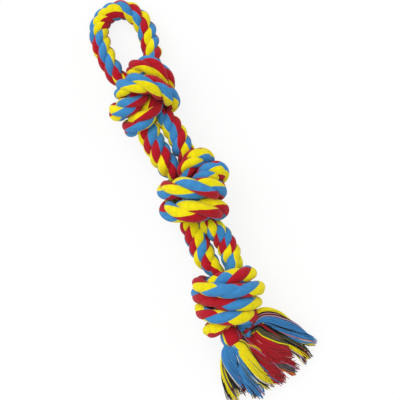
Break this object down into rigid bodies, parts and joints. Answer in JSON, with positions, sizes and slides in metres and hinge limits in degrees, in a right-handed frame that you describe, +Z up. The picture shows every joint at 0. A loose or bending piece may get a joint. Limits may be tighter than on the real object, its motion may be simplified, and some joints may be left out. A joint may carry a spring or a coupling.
{
  "type": "knotted rope dog toy",
  "caption": "Thick multicoloured cotton rope folded into a handle loop, tied in big doubled knots and ending in a frayed tassel, for a dog to tug and chew.",
  "frame": {"origin": "on the surface the toy lies on, under the middle of its bounding box", "axes": "+X along the toy from the handle loop to the tassel, +Y across it, +Z up from the surface it lies on"},
  "size_m": [0.5182, 0.1248, 0.0892],
  "materials": {
    "cotton_blue": "matt laid cotton yarn, slightly fluffy",
    "cotton_yellow": "matt laid cotton yarn, slightly fluffy",
    "cotton_red": "matt laid cotton yarn, slightly fluffy"
  },
  "bodies": {
    "middle_knot": {"middle_knot_rope_a": "cotton_blue", "middle_knot_rope_b": "cotton_yellow", "upper_leg_a": "cotton_blue", "upper_leg_b": "cotton_red", "lower_leg_a": "cotton_red", "lower_leg_b": "cotton_yellow"},
    "top_knot": {"top_knot_rope_a": "cotton_yellow", "top_knot_rope_b": "cotton_blue", "handle_neck_a": "cotton_red", "handle_neck_b": "cotton_yellow"},
    "handle": {"handle_loop": "cotton_blue"},
    "bottom_knot": {"bottom_knot_rope_a": "cotton_blue", "bottom_knot_rope_b": "cotton_yellow", "rope_end_a": "cotton_blue", "rope_end_b": "cotton_red"},
    "tassel": {"tassel_lock_a1": "cotton_blue", "tassel_lock_a2": "cotton_yellow", "tassel_lock_a3": "cotton_red", "tassel_lock_b1": "cotton_red", "tassel_lock_b2": "cotton_yellow", "tassel_lock_b3": "cotton_blue"}
  },
  "joints": [
    {"name": "upper_flex", "type": "hinge", "parent": "middle_knot", "child": "top_knot", "pos_m": [-0.0754, -0.01, 0.04], "axis": [0, 0, 1], "range_deg": [-30, 30], "stiffness_Nm_per_rad": 0.25, "deforming": ["upper_leg_a", "upper_leg_b"]},
    {"name": "handle_lift", "type": "hinge", "parent": "top_knot", "child": "handle", "pos_m": [-0.188, -0.013, 0.024], "axis": [0, 1, 0], "range_deg": [0, 60], "stiffness_Nm_per_rad": 0.12, "deforming": ["handle_neck_a", "handle_neck_b"]},
    {"name": "lower_flex", "type": "hinge", "parent": "middle_knot", "child": "bottom_knot", "pos_m": [0.0606, -0.008, 0.04], "axis": [0, 0, 1], "range_deg": [-30, 30], "stiffness_Nm_per_rad": 0.25, "deforming": ["lower_leg_a", "lower_leg_b"]},
    {"name": "tassel_lift", "type": "hinge", "parent": "bottom_knot", "child": "tassel", "pos_m": [0.1706, -0.015, 0.036], "axis": [0, -1, 0], "range_deg": [0, 35], "stiffness_Nm_per_rad": 0.05, "deforming": ["rope_end_a", "rope_end_b"]}
  ]
}
